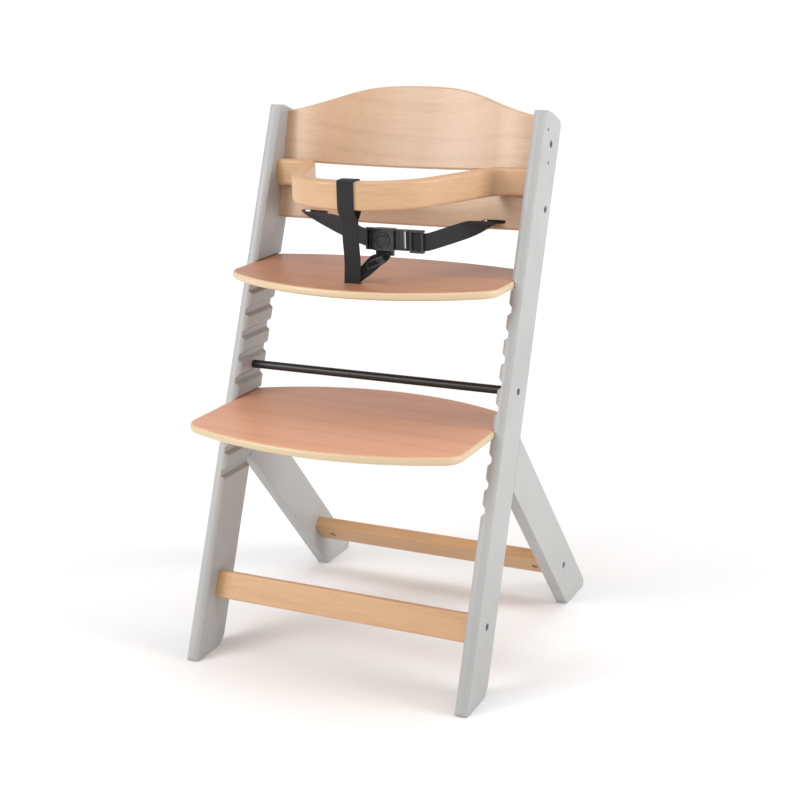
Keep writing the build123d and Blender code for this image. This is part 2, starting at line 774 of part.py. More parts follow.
def make_crotch_adjuster():
    """Small slide round the short strap, just under the buckle."""
    low, high = buckle_strap_ends()
    run = (high - low).normalized()
    start = low + (high - low) * crotch_adjuster_place - run * crotch_adjuster_length / 2
    skin = web_gap + adjuster_depth
    outer = Rectangle(web_width + 2 * skin, web_thickness + 2 * skin)
    outer = fillet(outer.vertices(), adjuster_depth / 2)
    ring = outer - Rectangle(web_width + 2 * web_gap, web_thickness + 2 * web_gap)
    return extrude(Plane(origin=start) * ring, crotch_adjuster_length, dir=run)


def make_crotch_strap_stop():
    """Bar under the seat plate that the crotch straps are sewn round."""
    top = seat_height - plate_thickness / 2
    stop = block(
        (crotch_x - strap_stop_width / 2, crotch_x + strap_stop_width / 2),
        (crotch_slot_y - strap_stop_depth / 2, crotch_slot_y + strap_stop_depth / 2),
        (top - strap_stop_thickness, top),
    )
    room = block(
        (crotch_x - web_width / 2 - web_gap, crotch_x + web_width / 2 + web_gap),
        (crotch_slot_y - crotch_slot_depth / 2, crotch_slot_y + crotch_slot_depth / 2),
        (top - strap_stop_thickness / 2, top + 1),
    )
    stop = fillet(stop.edges().filter_by(Axis.Z), adjuster_bar / 2)
    return stop - room


def make_waist_strap_stops():
    """Bars behind the lower board that the waist straps are sewn round."""
    stops = []
    for side in (-1, 1):
        x, bend, along = waist_strap_run(side)
        back = bend + waist_slot_run / 2 + strap_stop_thickness / 2
        bar = Box(strap_stop_width, strap_stop_thickness, strap_stop_depth)
        bar = fillet(bar.edges().filter_by(Axis.X), adjuster_bar / 2)
        stops.append(board_plane * Pos(x, back, along) * bar)
    return group(stops)


def make_stretcher_nuts():
    front_along = front_stretcher_along + front_bolt_rise
    rear_along = rear_stretcher_along + rear_bolt_rise
    front = rail_nuts(post_plane, front_stretcher_back, front_along, stretcher_thickness, 1)
    rear = rail_nuts(leg_plane, rear_stretcher_back, rear_along, stretcher_thickness, -1)
    return group(front + rear)


def make_backrest_nuts():
    upper = rail_nuts(board_plane, 0, board_along(upper_bolt_height), board_thickness, 1)
    lower = rail_nuts(board_plane, 0, board_along(lower_bolt_height), board_thickness, 1)
    return group(upper + lower)


def make_pieces():
    """Every piece by its name, with Y = 0 at the front feet."""
    right_post = make_right_post()
    right_leg = make_right_leg()
    front_place = (post_plane, front_stretcher_back, front_stretcher_along, front_bolt_rise)
    rear_place = (leg_plane, rear_stretcher_back, rear_stretcher_along, rear_bolt_rise)
    return {
        "right_post": right_post,
        "left_post": mirrored(right_post),
        "right_rear_leg": right_leg,
        "left_rear_leg": mirrored(right_leg),
        "side_panel_dowels": pair(group(leg_dowels())),
        "upper_backrest": make_upper_backrest(),
        "lower_backrest": make_lower_backrest(),
        "backrest_dowels": pair(group(board_dowels())),
        "backrest_bolts": make_bolts(["upper", "lower"]),
        "backrest_nuts": make_backrest_nuts(),
        "safety_bow": make_safety_bow(),
        "bow_dowels": pair(group(bow_dowels())),
        "seat_plate": make_seat_plate(),
        "foot_plate": make_foot_plate(),
        "support_bar": make_support_bar(),
        "bar_inserts": make_bar_inserts(),
        "bar_bolts": make_bolts(["bar"]),
        "front_stretcher": make_stretcher(*front_place, 1),
        "rear_stretcher": make_stretcher(*rear_place, -1),
        "stretcher_bolts": make_bolts(["front", "rear"]),
        "stretcher_nuts": make_stretcher_nuts(),
        "crotch_strap": make_crotch_strap(),
        "crotch_strap_stop": make_crotch_strap_stop(),
        "buckle_strap": make_buckle_strap(),
        "crotch_adjuster": make_crotch_adjuster(),
        "left_waist_strap": make_left_waist_strap(),
        "right_waist_strap": make_right_waist_strap(),
        "waist_strap_stops": make_waist_strap_stops(),
        "waist_adjuster": make_waist_adjuster(),
        "buckle_housing": make_buckle_housing(),
        "buckle_button": make_buckle_button(),
        "button_spring": make_button_spring(),
        "buckle_tongue": make_buckle_tongue(),
    }


def build():
    """Every piece by its name, with the origin under the middle of the chair's outer box."""
    pieces = make_pieces()
    box = group(pieces.values()).bounding_box()
    return {name: shape.moved(Pos(0, -box.center().Y, 0)) for name, shape in pieces.items()}


if __name__ == "__main__":
    os.makedirs("parts", exist_ok=True)
    for node, shape in build().items():
        export_step(shape, f"parts/{node}.step")
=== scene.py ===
import math

import bpy
import bmesh
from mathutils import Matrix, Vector


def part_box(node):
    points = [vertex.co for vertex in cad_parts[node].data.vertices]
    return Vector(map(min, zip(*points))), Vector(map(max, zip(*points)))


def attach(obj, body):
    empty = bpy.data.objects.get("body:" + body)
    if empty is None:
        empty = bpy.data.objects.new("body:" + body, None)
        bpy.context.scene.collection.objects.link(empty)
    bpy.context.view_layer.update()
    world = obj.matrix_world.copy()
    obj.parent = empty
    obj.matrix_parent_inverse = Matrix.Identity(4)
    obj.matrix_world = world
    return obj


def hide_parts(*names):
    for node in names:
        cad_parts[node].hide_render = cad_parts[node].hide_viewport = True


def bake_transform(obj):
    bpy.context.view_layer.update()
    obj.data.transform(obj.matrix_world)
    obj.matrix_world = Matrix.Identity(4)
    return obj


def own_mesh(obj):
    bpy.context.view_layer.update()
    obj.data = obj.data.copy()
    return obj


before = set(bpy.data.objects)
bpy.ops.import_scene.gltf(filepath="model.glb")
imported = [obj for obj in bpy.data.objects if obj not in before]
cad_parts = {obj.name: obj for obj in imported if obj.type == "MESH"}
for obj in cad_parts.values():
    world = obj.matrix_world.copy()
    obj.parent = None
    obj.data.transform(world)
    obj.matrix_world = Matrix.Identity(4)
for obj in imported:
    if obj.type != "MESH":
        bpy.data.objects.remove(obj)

# Wooden high chair: grey lacquered side panels, clear beech plywood, black webbing harness.
# Metres, +Z up, -Y is the front.
print("frame loaded:", len(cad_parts), "CAD nodes")
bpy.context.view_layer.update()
mm = 0.001

# ---- camera, floor and light

camera = {
    "place": (0.9322, -1.8505, 0.9636),
    "azimuth": 25.876,          # degrees round from the front, towards the sitter's left
    "elevation": 13.841,
    "roll": -1.394,
    "lens": 67.353,
    "shiftX": -0.0052,
    "shiftY": -0.0873,
}
studio = {
    "floorSize": 400.0,
    "floorColor": (0.92, 0.92, 0.92),
    "paperFade": (0.7, 3.0),    # the paper brightens to white between these distances
    "backdrop": 1.0,            # brightness behind the chair
    "daylight": 0.60,           # brightness of the soft light from all round
    "lamps": [                  # place, aim, size, watts
        ((-2.1, -1.9, 1.7), (0.0, 0.0, 0.6), 1.1, 24.0),
        ((2.9, 0.3, 1.5), (0.0, 0.0, 0.45), 1.3, 46.0),
        ((0.2, 0.2, 3.2), (0.0, 0.0, 0.4), 2.0, 26.0),
        ((-1.7, -2.7, 1.9), (0.0, 0.0, 0.45), 1.4, 32.0),
    ],
}


def clearSelection():
    if bpy.context.object and bpy.context.object.mode != "OBJECT":
        bpy.ops.object.mode_set(mode="OBJECT")
    bpy.ops.object.select_all(action="DESELECT")


def makeCamera():
    turn, rise, roll = (math.radians(camera[key]) for key in ("azimuth", "elevation", "roll"))
    back = Vector((math.sin(turn) * math.cos(rise), -math.cos(turn) * math.cos(rise), math.sin(rise)))
    bpy.ops.object.camera_add(location=camera["place"])
    eye = bpy.context.object
    eye.name = "camera"
    eye.rotation_euler = (-back).to_track_quat("-Z", "Y").to_euler()
    eye.rotation_euler.rotate_axis("Z", roll)
    eye.data.lens = camera["lens"]
    eye.data.shift_x = camera["shiftX"]
    eye.data.shift_y = camera["shiftY"]
    bpy.context.scene.camera = eye


def makeStudio():
    clearSelection()
    bpy.ops.mesh.primitive_plane_add(size=studio["floorSize"], location=(0, 0, -0.0005))
    floor = bpy.context.object
    floor.name = "floor"
    floor.data.materials.append(floorMaterial())
    for number, (place, aim, size, watts) in enumerate(studio["lamps"]):
        clearSelection()
        bpy.ops.object.light_add(type="AREA", location=place)
        lamp = bpy.context.object
        lamp.name = f"lamp_{number}"
        lamp.rotation_euler = (Vector(aim) - Vector(place)).to_track_quat("-Z", "Y").to_euler()
        lamp.data.size = size
        lamp.data.energy = watts
    world = bpy.data.worlds.new("studio")
    world.use_nodes = True
    tree = world.node_tree
    sky = tree.nodes["Background"]
    sky.inputs["Color"].default_value = (1, 1, 1, 1)
    seen = addNode(tree, "LightPath").outputs["Is Camera Ray"]
    strength = spread(tree, seen, 0.0, 1.0, (studio["daylight"], studio["backdrop"]))
    tree.links.new(strength, sky.inputs["Strength"])
    bpy.context.scene.world = world
    bpy.context.scene.view_settings.view_transform = "Standard"


# ---- small helpers for node trees

def newMaterial(name):
    material = bpy.data.materials.new(name)
    material.use_nodes = True
    return material, material.node_tree, material.node_tree.nodes["Principled BSDF"]


def addNode(tree, kind, **settings):
    node = tree.nodes.new("ShaderNode" + kind)
    for key, value in settings.items():
        setattr(node, key, value)
    return node


def feed(tree, node, **values):      # numbers are set, sockets are linked; "_" in a name stands for a space
    for key, value in values.items():
        numbered = key[0] == "i" and key[1:].isdigit()
        socket = node.inputs[int(key[1:]) if numbered else key.replace("_", " ")]
        if isinstance(value, bpy.types.NodeSocket):
            tree.links.new(value, socket)
        else:
            socket.default_value = value
    return node


def sums(tree, operation, *terms):
    node = addNode(tree, "Math", operation=operation)
    for number, term in enumerate(terms):
        if isinstance(term, bpy.types.NodeSocket):
            tree.links.new(term, node.inputs[number])
        else:
            node.inputs[number].default_value = term
    return node.outputs[0]


def objectPoint(tree):
    return addNode(tree, "TexCoord").outputs["Object"]


def stretched(tree, vector, scale, turn=(0, 0, 0)):
    node = addNode(tree, "Mapping")
    feed(tree, node, Vector=vector, Scale=scale, Rotation=turn)
    return node.outputs["Vector"]


def noise(tree, vector, scale=1.0, detail=3.0, roughness=0.55, distortion=0.0):
    node = addNode(tree, "TexNoise")
    feed(tree, node, Vector=vector, Scale=scale, Detail=detail, Roughness=roughness, Distortion=distortion)
    return node.outputs["Fac"]


def spread(tree, value, low, high, to=(0.0, 1.0)):       # a value between two limits becomes a mask
    node = addNode(tree, "MapRange", interpolation_type="SMOOTHSTEP")
    feed(tree, node, Value=value, i1=low, i2=high, i3=to[0], i4=to[1])
    return node.outputs["Result"]


def blendColors(tree, mask, first, second, mode="MIX"):
    node = addNode(tree, "Mix", data_type="RGBA", blend_type=mode)
    for socket, value in ((node.inputs[0], mask), (node.inputs[6], first), (node.inputs[7], second)):
        if isinstance(value, bpy.types.NodeSocket):
            tree.links.new(value, socket)
        elif isinstance(value, tuple):
            socket.default_value = (*value, 1) if len(value) == 3 else value
        else:
            socket.default_value = value
    return node.outputs[2]


def bump(tree, bsdf, height, strength, distance):
    node = addNode(tree, "Bump")
    feed(tree, node, Height=height, Strength=strength, Distance=distance)
    tree.links.new(node.outputs["Normal"], bsdf.inputs["Normal"])


def newGroup(name, inputs, outputs):
    tree = bpy.data.node_groups.new(name, "ShaderNodeTree")
    for label, kind in inputs:
        tree.interface.new_socket(label, in_out="INPUT", socket_type="NodeSocket" + kind)
    for label, kind in outputs:
        tree.interface.new_socket(label, in_out="OUTPUT", socket_type="NodeSocket" + kind)
    return tree, tree.nodes.new("NodeGroupInput"), tree.nodes.new("NodeGroupOutput")


def useGroup(tree, group, **values):
    node = addNode(tree, "Group", node_tree=group)
    return feed(tree, node, **values)


# ---- shared effects

def makeBeechGroup():                 # long pores, short rays and a faint grown figure
    tree, start, end = newGroup(
        "beech_grain",
        [("Point", "Vector"), ("Light", "Color"), ("Dark", "Color"), ("Figure", "Float")],
        [("Color", "Color"), ("Height", "Float")],
    )
    point = start.outputs["Point"]
    pores = noise(tree, stretched(tree, point, (7, 190, 190)), 3.0, 5.0, 0.65)
    rays = noise(tree, stretched(tree, point, (95, 620, 620)), 2.0, 2.0, 0.5)
    drift = noise(tree, stretched(tree, point, (1.6, 7, 7)), 1.4, 2.0)
    bands = addNode(tree, "TexWave", wave_type="BANDS", bands_direction="DIAGONAL", wave_profile="SIN")
    feed(tree, bands, Vector=stretched(tree, point, (0.8, 13, 13)), Scale=1.0, Distortion=7.0, Detail=2.0)
    feed(tree, bands, Detail_Scale=0.6, Detail_Roughness=0.5)
    figure = sums(tree, "MULTIPLY", spread(tree, bands.outputs["Fac"], 0.72, 1.0), start.outputs["Figure"])
    rayMask = spread(tree, rays, 0.58, 0.75)
    streaks = spread(tree, pores, 0.3, 0.75)
    tone = sums(tree, "MULTIPLY_ADD", streaks, 0.55, sums(tree, "MULTIPLY", drift, 0.35))
    tone = sums(tree, "ADD", tone, sums(tree, "MULTIPLY", rayMask, 0.16))
    tone = sums(tree, "ADD", tone, figure)
    color = blendColors(tree, tone, start.outputs["Light"], start.outputs["Dark"])
    tree.links.new(color, end.inputs["Color"])
    tree.links.new(sums(tree, "SUBTRACT", sums(tree, "MULTIPLY", pores, -0.6), rayMask), end.inputs["Height"])
    return tree


def makeHandlingGroup():              # faint rubbed and hazy patches in a roughness
    inputs = [("Point", "Vector"), ("Base", "Float")]
    tree, start, end = newGroup("handling", inputs, [("Roughness", "Float")])
    haze = noise(tree, start.outputs["Point"], 9.0, 4.0, 0.6)
    fine = noise(tree, start.outputs["Point"], 160.0, 2.0, 0.5)
    change = sums(tree, "MULTIPLY_ADD", haze, 0.16, sums(tree, "MULTIPLY", fine, 0.05))
    total = sums(tree, "ADD", start.outputs["Base"], sums(tree, "SUBTRACT", change, 0.1))
    tree.links.new(total, end.inputs["Roughness"])
    return tree


beechGrain = makeBeechGroup()
handling = makeHandlingGroup()


def floorMaterial():
    material, tree, bsdf = newMaterial("floor_paper")
    speck = noise(tree, objectPoint(tree), 30.0, 2.0)
    speckled = tuple(0.98 * part for part in studio["floorColor"])
    color = blendColors(tree, speck, studio["floorColor"], speckled)
    reach = addNode(tree, "VectorMath", operation="LENGTH")
    tree.links.new(objectPoint(tree), reach.inputs[0])
    glow = spread(tree, reach.outputs["Value"], *studio["paperFade"], (0.0, 1.0 - studio["daylight"] + 0.06))
    feed(tree, bsdf, Base_Color=color, Roughness=0.9, Emission_Color=(1, 1, 1, 1), Emission_Strength=glow)
    return material


# ---- finishes

lacquer = {"light": (0.43, 0.43, 0.423), "dark": (0.385, 0.385, 0.380), "roughness": 0.42}


def panelLacquer(name, tilt):          # grey paint over wood whose grain runs up the panel
    material, tree, bsdf = newMaterial(name)
    point = objectPoint(tree)
    along = stretched(tree, point, (1, 1, 1), (math.radians(tilt), 0, 0))
    grain = noise(tree, stretched(tree, along, (150, 150, 5)), 2.0, 4.0, 0.6)
    peel = noise(tree, point, 420.0, 2.0, 0.5)
    cloud = noise(tree, point, 6.0, 3.0, 0.6)
    color = blendColors(tree, spread(tree, cloud, 0.3, 0.75), lacquer["light"], lacquer["dark"])
    shade = sums(tree, "MULTIPLY", spread(tree, grain, 0.5, 0.8), 0.10)
    color = blendColors(tree, shade, color, lacquer["dark"])
    rough = useGroup(tree, handling, Point=point, Base=lacquer["roughness"])
    feed(tree, bsdf, Base_Color=color, Roughness=rough.outputs["Roughness"])
    height = sums(tree, "MULTIPLY_ADD", grain, 0.6, sums(tree, "MULTIPLY", peel, 0.4))
    bump(tree, bsdf, height, 0.12, 0.0004)
    return material


veneer = {
    # faceLight and faceDark, which the seat uses, are darkened as painted shade for the shade the seat lies
    # in under the safety bow
    "faceLight": (0.52, 0.235, 0.125),
    "faceDark": (0.40, 0.160, 0.083),
    "plyPale": (0.68, 0.53, 0.335),
    "plyDark": (0.62, 0.40, 0.22),
    "glue": (0.42, 0.25, 0.13),
    "faceDepth": 0.9 * mm,
    "ply": 1.275 * mm,                # nine plies: two faces and eight inner layers of this pitch
    "roughness": 0.38,
}


def beechPlywood(name, depthOf, thickness, faceLight=None, faceDark=None):
    material, tree, bsdf = newMaterial(name)
    point = objectPoint(tree)
    face = useGroup(tree, beechGrain, Point=point, Figure=0.22)
    light, dark = faceLight or veneer["faceLight"], faceDark or veneer["faceDark"]
    feed(tree, face, Light=(*light, 1), Dark=(*dark, 1))
    depth = depthOf(tree, point)                       # signed distance from the middle layer
    deep = sums(tree, "ABSOLUTE", depth)
    faceStart = thickness / 2 - veneer["faceDepth"]
    isFace = spread(tree, deep, faceStart - 0.1 * mm, faceStart)
    layer = sums(tree, "DIVIDE", sums(tree, "ADD", depth, thickness), veneer["ply"])
    turnover = sums(tree, "PINGPONG", layer, 1.0)
    joint = sums(tree, "PINGPONG", sums(tree, "MULTIPLY", layer, 2.0), 1.0)
    glueLine = spread(tree, joint, 0.0, 0.14, (0.55, 0.0))
    fibres = noise(tree, stretched(tree, point, (260, 260, 900)), 2.0, 3.0, 0.6)
    dulled = tuple(0.86 * part for part in veneer["plyPale"])
    pale = blendColors(tree, spread(tree, fibres, 0.35, 0.7), veneer["plyPale"], dulled)
    edge = blendColors(tree, spread(tree, turnover, 0.45, 0.55, (0.0, 0.30)), pale, veneer["plyDark"])
    edge = blendColors(tree, glueLine, edge, veneer["glue"])
    color = blendColors(tree, isFace, edge, face.outputs["Color"])
    rough = useGroup(tree, handling, Point=point, Base=veneer["roughness"])
    feed(tree, bsdf, Base_Color=color, Roughness=rough.outputs["Roughness"])
    bsdf.inputs["Coat Weight"].default_value = 0.30
    bsdf.inputs["Coat Roughness"].default_value = 0.30
    height = sums(tree, "MULTIPLY_ADD", face.outputs["Height"], 0.5, sums(tree, "MULTIPLY", glueLine, -0.6))
    bump(tree, bsdf, height, 0.16, 0.0003)
    return material


def heightDepth(middle):               # layers of a level plate, counted from its middle height
    def depthOf(tree, point):
        parts = addNode(tree, "SeparateXYZ")
        feed(tree, parts, Vector=point)
        return sums(tree, "SUBTRACT", parts.outputs["Z"], middle)
    return depthOf


backrest = {
    "tilt": 14.9,
    "flat": 40 * mm,
    "bendX": 75 * mm,
    "bow": 24 * mm,
    "wideRadius": 440 * mm,
    "endRadius": 150 * mm,
}


def bowedDepth(middleY, middleZ, halfWidth):     # layers of the bent boards, following their bend
    def bend(x):
        flat = halfWidth - backrest["flat"]
        slope = math.atan2(backrest["bow"], flat - backrest["bendX"])
        endTangent = backrest["endRadius"] * math.tan(slope / 2)
        wideTangent = backrest["wideRadius"] * math.tan(slope / 2)
        if x > flat + endTangent:
            return 0.0
        if x > flat - endTangent * math.cos(slope):
            radius = backrest["endRadius"]
            return radius - math.sqrt(radius**2 - (flat + endTangent - x) ** 2)
        if x > backrest["bendX"] + wideTangent * math.cos(slope):
            return (flat - x) * math.tan(slope)
        start = backrest["bendX"] - wideTangent
        if x < start:
            return backrest["bow"]
        radius = backrest["wideRadius"]
        return backrest["bow"] - radius + math.sqrt(radius**2 - (x - start) ** 2)

    def depthOf(tree, point):
        parts = addNode(tree, "SeparateXYZ")
        feed(tree, parts, Vector=point)
        tilt = math.radians(backrest["tilt"])
        back = sums(tree, "MULTIPLY", sums(tree, "SUBTRACT", parts.outputs["Y"], middleY), math.cos(tilt))
        drop = sums(tree, "MULTIPLY", sums(tree, "SUBTRACT", parts.outputs["Z"], middleZ), math.sin(tilt))
        curve = addNode(tree, "FloatCurve")
        line = curve.mapping.curves[0]
        steps = 24
        line.points[0].location = (0, bend(0) / backrest["bow"])
        line.points[1].location = (1, bend(halfWidth) / backrest["bow"])
        for number in range(1, steps):
            line.points.new(number / steps, bend(halfWidth * number / steps) / backrest["bow"])
        curve.mapping.update()
        feed(tree, curve, Value=sums(tree, "DIVIDE", sums(tree, "ABSOLUTE", parts.outputs["X"]), halfWidth))
        offset = sums(tree, "MULTIPLY", curve.outputs[0], backrest["bow"])
        return sums(tree, "SUBTRACT", sums(tree, "SUBTRACT", back, drop), offset)
    return depthOf


solidBeech = {"light": (0.66, 0.41, 0.215), "dark": (0.51, 0.29, 0.14), "roughness": 0.40}


def beechRail(name, light, dark, stretch=(1, 1, 1), figure=0.14):
    material, tree, bsdf = newMaterial(name)
    point = objectPoint(tree)
    grain = useGroup(tree, beechGrain, Point=stretched(tree, point, stretch), Figure=figure)
    feed(tree, grain, Light=(*light, 1), Dark=(*dark, 1))
    rough = useGroup(tree, handling, Point=point, Base=solidBeech["roughness"])
    feed(tree, bsdf, Base_Color=grain.outputs["Color"], Roughness=rough.outputs["Roughness"])
    bsdf.inputs["Coat Weight"].default_value = 0.10
    bsdf.inputs["Coat Roughness"].default_value = 0.28
    bump(tree, bsdf, grain.outputs["Height"], 0.14, 0.0003)
    return material


def coatedSteel(name, color, metallic, roughness, grainScale, grainStrength):
    material, tree, bsdf = newMaterial(name)
    point = objectPoint(tree)
    grains = noise(tree, point, grainScale, 2.0, 0.6)
    patches = spread(tree, noise(tree, point, 60.0, 3.0), 0.35, 0.7)
    tone = blendColors(tree, patches, color, tuple(1.5 * part for part in color))
    rough = useGroup(tree, handling, Point=point, Base=roughness)
    feed(tree, bsdf, Base_Color=tone, Roughness=rough.outputs["Roughness"], Metallic=metallic)
    bump(tree, bsdf, grains, grainStrength, 0.0002)
    return material


plastic = {"dark": (0.020, 0.021, 0.023), "light": (0.040, 0.042, 0.046), "roughness": 0.30}


def mouldedPlastic():
    material, tree, bsdf = newMaterial("moulded_plastic")
    point = objectPoint(tree)
    spark = noise(tree, point, 1500.0, 2.0, 0.6)
    rubbed = noise(tree, point, 90.0, 4.0, 0.6)
    color = blendColors(tree, spread(tree, rubbed, 0.45, 0.75), plastic["dark"], plastic["light"])
    rough = useGroup(tree, handling, Point=point, Base=plastic["roughness"])
    feed(tree, bsdf, Base_Color=color, Roughness=rough.outputs["Roughness"])
    bump(tree, bsdf, spark, 0.25, 0.0001)
    return material


weave = {"ribs": 15.0, "pick": 1.25 * mm, "dark": (0.003, 0.003, 0.0034), "light": (0.020, 0.020, 0.022)}


def webbingCloth():                     # UV: u across the webbing 0 to 1, v along it in metres
    material, tree, bsdf = newMaterial("webbing_cloth")
    uv = addNode(tree, "UVMap", uv_map="webbing")
    parts = addNode(tree, "SeparateXYZ")
    feed(tree, parts, Vector=uv.outputs["UV"])
    across = sums(tree, "MULTIPLY", parts.outputs["X"], weave["ribs"])
    along = sums(tree, "DIVIDE", parts.outputs["Y"], weave["pick"])
    column = sums(tree, "FLOOR", across)
    shifted = sums(tree, "MULTIPLY_ADD", column, 0.5, along)
    rib = sums(tree, "SINE", sums(tree, "MULTIPLY", sums(tree, "FRACT", across), math.pi))
    knot = sums(tree, "SINE", sums(tree, "MULTIPLY", sums(tree, "FRACT", shifted), math.pi))
    height = sums(tree, "MULTIPLY", rib, knot)
    fuzz = noise(tree, objectPoint(tree), 900.0, 2.0, 0.6)
    # raised ribs are coloured lighter and the hollows between them darker, mixed with random fibre fuzz:
    # painted shade in the weave's grooves
    tone = sums(tree, "MULTIPLY_ADD", fuzz, 0.25, sums(tree, "MULTIPLY", height, 0.6))
    color = blendColors(tree, tone, weave["dark"], weave["light"])
    feed(tree, bsdf, Base_Color=color, Roughness=spread(tree, height, 0.0, 1.0, (0.85, 0.66)))
    bsdf.inputs["Sheen Weight"].default_value = 0.04
    bsdf.inputs["Sheen Roughness"].default_value = 0.5
    bump(tree, bsdf, height, 0.7, 0.0004)
    return material


def stitchThread():
    material, tree, bsdf = newMaterial("stitch_thread")
    twist = addNode(tree, "TexWave", wave_type="BANDS", bands_direction="DIAGONAL")
    feed(tree, twist, Vector=objectPoint(tree), Scale=900.0, Distortion=1.0)
    # the twist's crests are coloured lighter and its grooves darker: painted shade along the twisted strands
    color = blendColors(tree, twist.outputs["Fac"], (0.012, 0.012, 0.013), (0.05, 0.05, 0.052))
    feed(tree, bsdf, Base_Color=color, Roughness=0.6)
    bump(tree, bsdf, twist.outputs["Fac"], 0.4, 0.0001)
    return material


seatLow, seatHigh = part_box("seat_plate")
footLow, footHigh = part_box("foot_plate")
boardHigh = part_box("lower_backrest")[1]
plateThickness = seatHigh.z - seatLow.z
finishes = {
    "post": panelLacquer("grey_lacquer_post", 21.7),
    "leg": panelLacquer("grey_lacquer_leg", -40.6),
    # the seat's darker face colours are painted shade
    "seat": beechPlywood("seat_plywood_painted_shade", heightDepth((seatLow.z + seatHigh.z) / 2), plateThickness),
    # the foot plate's brighter face colours are painted light, standing in for the extra front light falling
    # on the foot plate
    "foot": beechPlywood(
        "foot_plywood_painted_light",
        heightDepth((footLow.z + footHigh.z) / 2),
        plateThickness,
        (0.74, 0.38, 0.225),
        (0.58, 0.27, 0.155),
    ),
    "bow": beechRail("bow_beech", (0.63, 0.395, 0.225), (0.48, 0.28, 0.145), (0.6, 0.10, 1.0), 0.10),
    "rail": beechRail("stretcher_beech", solidBeech["light"], solidBeech["dark"]),
    "dowel": beechRail("dowel_beech", (0.80, 0.62, 0.40), (0.62, 0.44, 0.26)),
    "bar": coatedSteel("black_powder_coat", (0.010, 0.010, 0.011), 0.0, 0.34, 700.0, 0.3),
    "bolt": coatedSteel("black_oxide", (0.006, 0.006, 0.0065), 0.0, 0.36, 500.0, 0.15),
    # zinc colour kept dark grey: partly the plating's own dull tone, partly painted shade for the nuts sunk
    # deep in their holes
    "zinc": coatedSteel("zinc_plating", (0.30, 0.30, 0.31), 1.0, 0.34, 260.0, 0.1),
    "spring": coatedSteel("spring_wire", (0.50, 0.50, 0.51), 1.0, 0.24, 400.0, 0.1),
    "plastic": mouldedPlastic(),
    "webbing": webbingCloth(),
    "thread": stitchThread(),
}
boardAnchor = {"y": 0.2945 - 0.21802, "z": 0.620}       # the boards' middle plane crosses this point
finishes["board"] = beechPlywood(
    "backrest_plywood",
    bowedDepth(boardAnchor["y"], boardAnchor["z"], boardHigh.x),
    plateThickness,
    (0.61, 0.40, 0.255),
    (0.48, 0.295, 0.175),
)
nodeFinish = {
    "post": ["right_post", "left_post"],
    "leg": ["right_rear_leg", "left_rear_leg"],
    "seat": ["seat_plate"],
    "foot": ["foot_plate"],
    "board": ["upper_backrest", "lower_backrest"],
    "bow": ["safety_bow"],
    "rail": ["front_stretcher", "rear_stretcher"],
    "dowel": ["side_panel_dowels", "backrest_dowels", "bow_dowels"],
    "bar": ["support_bar"],
    "bolt": ["backrest_bolts", "bar_bolts", "stretcher_bolts"],
    "zinc": ["backrest_nuts", "stretcher_nuts", "bar_inserts", "button_spring"],
    "plastic": [
        "buckle_housing", "buckle_button", "buckle_tongue", "waist_adjuster", "crotch_adjuster",
        "crotch_strap_stop", "waist_strap_stops",
    ],
}
for finish, nodes in nodeFinish.items():
    for node in nodes:
        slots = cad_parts[node].data.materials
        slots.clear()
        slots.append(finishes[finish])
print("finishes ready")

makeCamera()
makeStudio()
print("camera and studio ready")


# ---- webbing

def finishPiece(piece, material, body, nodes=()):
    clearSelection()
    piece.select_set(True)
    bpy.context.view_layer.objects.active = piece
    bpy.ops.object.transform_apply(location=True, rotation=True, scale=True)
    piece.data.materials.clear()
    piece.data.materials.append(material)
    if nodes:
        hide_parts(*nodes)
    if body:
        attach(piece, body)
    return piece


def applyModifier(piece, kind, **settings):
    clearSelection()
    piece.select_set(True)
    bpy.context.view_layer.objects.active = piece
    modifier = piece.modifiers.new(kind.lower(), kind)
    for key, value in settings.items():
        setattr(modifier, key, value)
    bpy.ops.object.modifier_apply(modifier=modifier.name)


def softened(route, rounds):           # corner cutting turns a few listed stations into a smooth run
    for _ in range(rounds):
        finer = [route[0]]
        for (p, w), (q, v) in zip(route, route[1:]):
            finer.append((p.lerp(q, 0.25), w.lerp(v, 0.25)))
            finer.append((p.lerp(q, 0.75), w.lerp(v, 0.75)))
        finer.append(route[-1])
        route = finer
    return route


def layWebbing(name, stations, width, thickness, rounds=3):
    route = [(Vector(place), Vector(across).normalized()) for place, across in stations]
    route = softened(route, rounds)
    lengths = [0.0]
    for (p, _), (q, _) in zip(route, route[1:]):
        lengths.append(lengths[-1] + (q - p).length)
    clearSelection()
    ribs = 8                              # cells across the webbing
    bpy.ops.mesh.primitive_grid_add(x_subdivisions=ribs, y_subdivisions=len(route) - 1, size=1)
    strip = bpy.context.object
    strip.name = name
    strip.data.name = name
    strip.data.uv_layers[0].name = "webbing"
    for vertex in strip.data.vertices:
        row = round((vertex.co.y + 0.5) * (len(route) - 1))
        place, across = route[row]
        vertex.co = place + across.normalized() * (vertex.co.x * width)
    uvs = strip.data.uv_layers[0].data
    for corner in uvs:
        corner.uv = (corner.uv[0], corner.uv[1] * lengths[-1])
    applyModifier(strip, "SOLIDIFY", thickness=thickness, offset=0.0, use_even_offset=True)
    clearSelection()
    strip.select_set(True)
    bpy.context.view_layer.objects.active = strip
    bpy.ops.object.mode_set(mode="EDIT")
    bpy.ops.mesh.select_all(action="SELECT")
    bpy.ops.mesh.normals_make_consistent(inside=False)
    bpy.ops.object.mode_set(mode="OBJECT")
    corner = math.radians(50)
    applyModifier(
        strip, "BEVEL", width=thickness * 0.28, segments=2, limit_method="ANGLE", angle_limit=corner
    )
    bpy.ops.object.shade_smooth_by_angle(angle=math.radians(40))
    return strip


